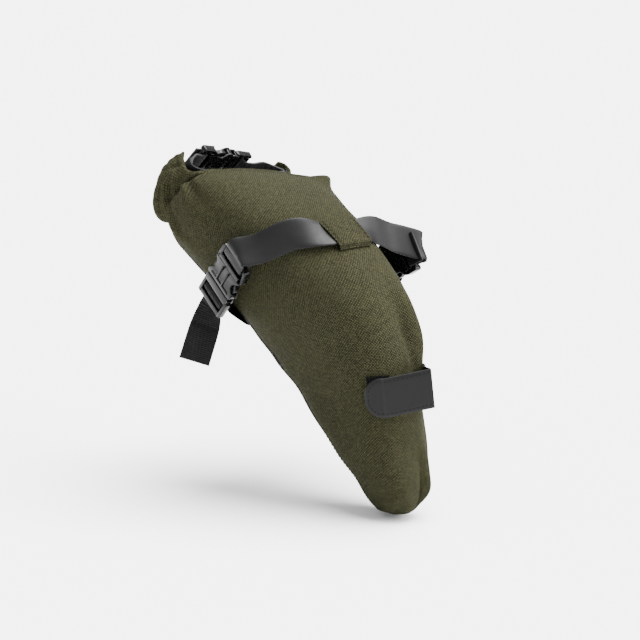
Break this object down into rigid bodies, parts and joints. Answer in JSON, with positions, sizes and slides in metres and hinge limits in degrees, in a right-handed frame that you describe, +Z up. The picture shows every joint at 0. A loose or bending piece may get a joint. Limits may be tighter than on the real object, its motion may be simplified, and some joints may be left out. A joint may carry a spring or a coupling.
{
  "type": "saddle bag",
  "caption": "Tapered roll-top cloth pack that hangs behind a bicycle's seat post, with a rail strap, side-release buckles and a hook-and-loop post strap.",
  "frame": {"origin": "on the seat post's axis, at the height of the middle of the post strap", "axes": "+X forwards along the saddle rails, +Y to the rider's left, +Z up"},
  "size_m": [0.2663, 0.1674, 0.2799],
  "materials": {
    "olive_cloth": "coarse woven cloth",
    "belly_cloth": "coated cloth",
    "liner_cloth": "smooth coated cloth",
    "board_plastic": "smooth sheet",
    "webbing": "ribbed webbing",
    "coated_strap": "matt coated",
    "hook_and_loop": "hooked tape",
    "buckle_plastic": "satin moulded"
  },
  "bodies": {
    "bag": {"main_panel": "olive_cloth", "belly_panel": "belly_cloth", "liner": "liner_cloth", "belly_board": "board_plastic", "seam_tape": "webbing", "strap_patch": "olive_cloth", "rail_strap": "coated_strap", "belly_webbing": "webbing", "near_buckle_socket": "buckle_plastic", "near_buckle_plug": "buckle_plastic", "far_buckle_socket": "buckle_plastic", "far_buckle_plug": "buckle_plastic", "roll_top": "olive_cloth", "mouth_stiffener": "board_plastic", "near_wing_tab": "webbing", "far_wing_tab": "webbing", "top_buckle_socket": "buckle_plastic", "top_buckle_plug": "buckle_plastic", "post_strap_base": "coated_strap", "loop_patch": "hook_and_loop"},
    "near_prong_front_body": {"near_prong_front": "buckle_plastic"},
    "near_prong_rear_body": {"near_prong_rear": "buckle_plastic"},
    "far_prong_front_body": {"far_prong_front": "buckle_plastic"},
    "far_prong_rear_body": {"far_prong_rear": "buckle_plastic"},
    "top_prong_front_body": {"top_prong_front": "buckle_plastic"},
    "top_prong_rear_body": {"top_prong_rear": "buckle_plastic"},
    "near_tail_body": {"near_tail": "webbing"},
    "far_tail_body": {"far_tail": "webbing"},
    "post_flap_body": {"post_strap_flap": "coated_strap", "hook_tape": "hook_and_loop"}
  },
  "joints": [
    {"name": "near_prong_front_squeeze", "type": "hinge", "parent": "bag", "child": "near_prong_front_body", "pos_m": [-0.14303, -0.0685, 0.06035], "axis": [0, -1, 0], "range_deg": [0, 10], "stiffness_Nm_per_rad": 0.15},
    {"name": "near_prong_rear_squeeze", "type": "hinge", "parent": "bag", "child": "near_prong_rear_body", "pos_m": [-0.15812, -0.0685, 0.07347], "axis": [0, 1, 0], "range_deg": [0, 10], "stiffness_Nm_per_rad": 0.15},
    {"name": "far_prong_front_squeeze", "type": "hinge", "parent": "bag", "child": "far_prong_front_body", "pos_m": [-0.0965, 0.0653, 0.06504], "axis": [0, -1, 0], "range_deg": [0, 10], "stiffness_Nm_per_rad": 0.15},
    {"name": "far_prong_rear_squeeze", "type": "hinge", "parent": "bag", "child": "far_prong_rear_body", "pos_m": [-0.1065, 0.0653, 0.08236], "axis": [0, 1, 0], "range_deg": [0, 10], "stiffness_Nm_per_rad": 0.15},
    {"name": "top_prong_front_squeeze", "type": "hinge", "parent": "bag", "child": "top_prong_front_body", "pos_m": [-0.21462, -0.00623, 0.15802], "axis": [0.7323, -0.0792, -0.6764], "range_deg": [0, 10], "stiffness_Nm_per_rad": 0.15},
    {"name": "top_prong_rear_squeeze", "type": "hinge", "parent": "bag", "child": "top_prong_rear_body", "pos_m": [-0.22819, -0.0097, 0.14374], "axis": [-0.7323, 0.0792, 0.6764], "range_deg": [0, 10], "stiffness_Nm_per_rad": 0.15},
    {"name": "near_tail_swing", "type": "hinge", "parent": "bag", "child": "near_tail_body", "pos_m": [-0.16639, -0.0633, 0.04872], "axis": [-0.7547, 0, 0.6561], "range_deg": [-5, 50], "stiffness_Nm_per_rad": 0.02},
    {"name": "far_tail_swing", "type": "hinge", "parent": "bag", "child": "far_tail_body", "pos_m": [-0.12107, 0.0601, 0.0624], "axis": [0.5, 0, -0.866], "range_deg": [-5, 50], "stiffness_Nm_per_rad": 0.02},
    {"name": "post_flap_open", "type": "hinge", "parent": "bag", "child": "post_flap_body", "pos_m": [0.00928, 0.0074, 0.00147], "axis": [-0.156, 0, 0.9878], "range_deg": [0, 110]}
  ],
  "couplings": [
    {"joint": "near_prong_rear_squeeze", "follows": "near_prong_front_squeeze", "ratio": 1},
    {"joint": "far_prong_rear_squeeze", "follows": "far_prong_front_squeeze", "ratio": 1},
    {"joint": "top_prong_rear_squeeze", "follows": "top_prong_front_squeeze", "ratio": 1}
  ]
}
